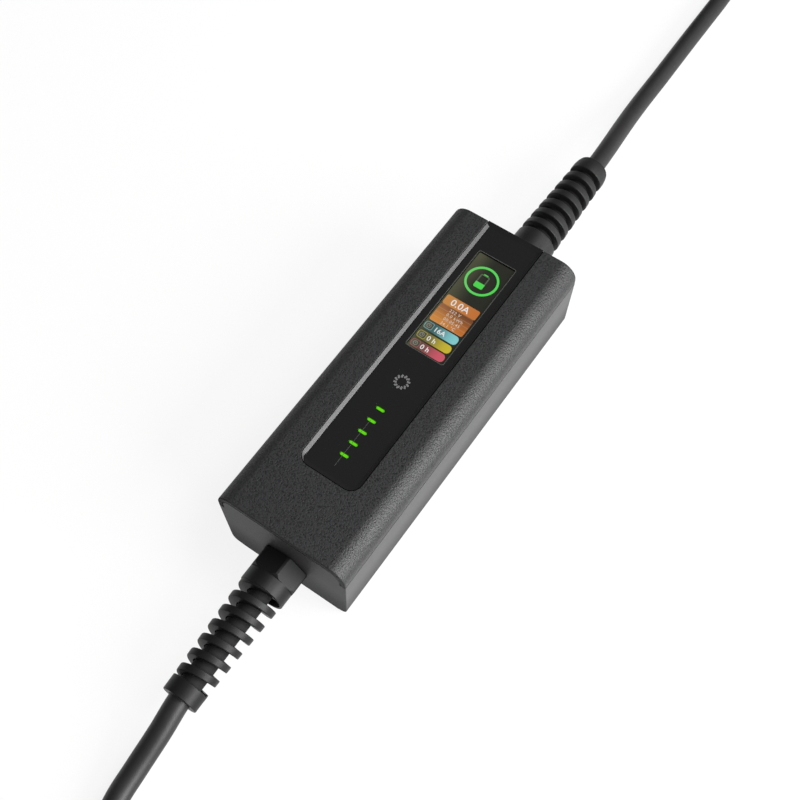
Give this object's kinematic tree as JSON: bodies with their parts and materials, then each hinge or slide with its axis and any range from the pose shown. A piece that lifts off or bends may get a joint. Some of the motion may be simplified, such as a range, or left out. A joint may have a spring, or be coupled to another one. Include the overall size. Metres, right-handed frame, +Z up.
{
  "type": "portable ev charger",
  "caption": "Black in-cable control box with a colour display and light bars, an output cable in a spiral strain relief at one end and a mains lead at the other.",
  "frame": {"origin": "centre of the control box's underside", "axes": "+Y along the box towards the mains lead, +X across it, +Z up through the display"},
  "size_m": [0.125, 1.2047, 0.061],
  "materials": {
    "base": "smooth satin black",
    "cover": "fine grained black",
    "panel": "glossy black",
    "bezel": "bright satin",
    "screen": "dark display face",
    "lit_green": "lit",
    "lit_orange": "lit",
    "lit_amber": "lit",
    "lit_blue": "lit",
    "lit_yellow": "lit",
    "lit_red": "lit",
    "mark_print": "printed",
    "light_pipe": "lit",
    "circuit_board": "solder mask",
    "touch_spring": "plain",
    "relay_case": "moulded",
    "supply_case": "moulded",
    "capacitor_sleeve": "shrunk sleeve",
    "sensor_case": "moulded",
    "terminal_block": "moulded",
    "wire_brown": "insulation",
    "wire_blue": "insulation",
    "wire_earth": "insulation",
    "nylon": "satin moulded",
    "seal_rubber": "matte",
    "boot": "satin moulded",
    "jacket": "satin",
    "strap": "woven",
    "connector_nylon": "satin moulded",
    "contact_block": "moulded",
    "grip": "fine grained",
    "nickel": "nickel plated",
    "screw_steel": "plain"
  },
  "bodies": {
    "root": {"base_tub": "base", "capacitor": "capacitor_sleeve", "case_screw_1": "screw_steel", "case_screw_2": "screw_steel", "case_screw_3": "screw_steel", "case_screw_4": "screw_steel", "charge_bar_1": "light_pipe", "charge_bar_2": "light_pipe", "charge_bar_3": "light_pipe", "charge_bar_4": "light_pipe", "charge_bar_5": "light_pipe", "connector_barrel": "connector_nylon", "connector_contact_block": "contact_block", "connector_dust_cap": "seal_rubber", "connector_grip_left": "grip", "connector_grip_right": "grip", "connector_strain_relief": "seal_rubber", "cover": "cover", "display_battery": "lit_green", "display_board": "circuit_board", "display_current_bar": "lit_blue", "display_delay_bar": "lit_yellow", "display_gauge_ring": "lit_green", "display_header": "lit_orange", "display_module": "screen", "display_readout": "lit_amber", "display_timer_bar": "lit_red", "fault_current_sensor": "sensor_case", "front_panel": "panel", "gland_locknut": "nylon", "gland_seal": "seal_rubber", "gland_spigot": "nylon", "hank_tie_left": "strap", "hank_tie_right": "strap", "main_board": "circuit_board", "mains_lead": "jacket", "output_cable": "jacket", "output_cable_hank": "jacket", "output_cable_tail": "jacket", "output_terminals": "terminal_block", "output_wire_1": "wire_brown", "output_wire_2": "wire_earth", "output_wire_3": "wire_blue", "panel_bezel": "bezel", "plug_body": "grip", "plug_earth_bottom": "nickel", "plug_earth_top": "nickel", "plug_pin_left": "nickel", "plug_pin_right": "nickel", "power_supply": "supply_case", "relay_1": "relay_case", "relay_2": "relay_case", "ribbed_strain_relief": "boot", "spiral_strain_relief": "nylon", "supply_terminals": "terminal_block", "supply_wire_1": "wire_brown", "supply_wire_2": "wire_earth", "supply_wire_3": "wire_blue", "touch_mark": "mark_print", "touch_sensor": "touch_spring"}
  },
  "joints": []
}
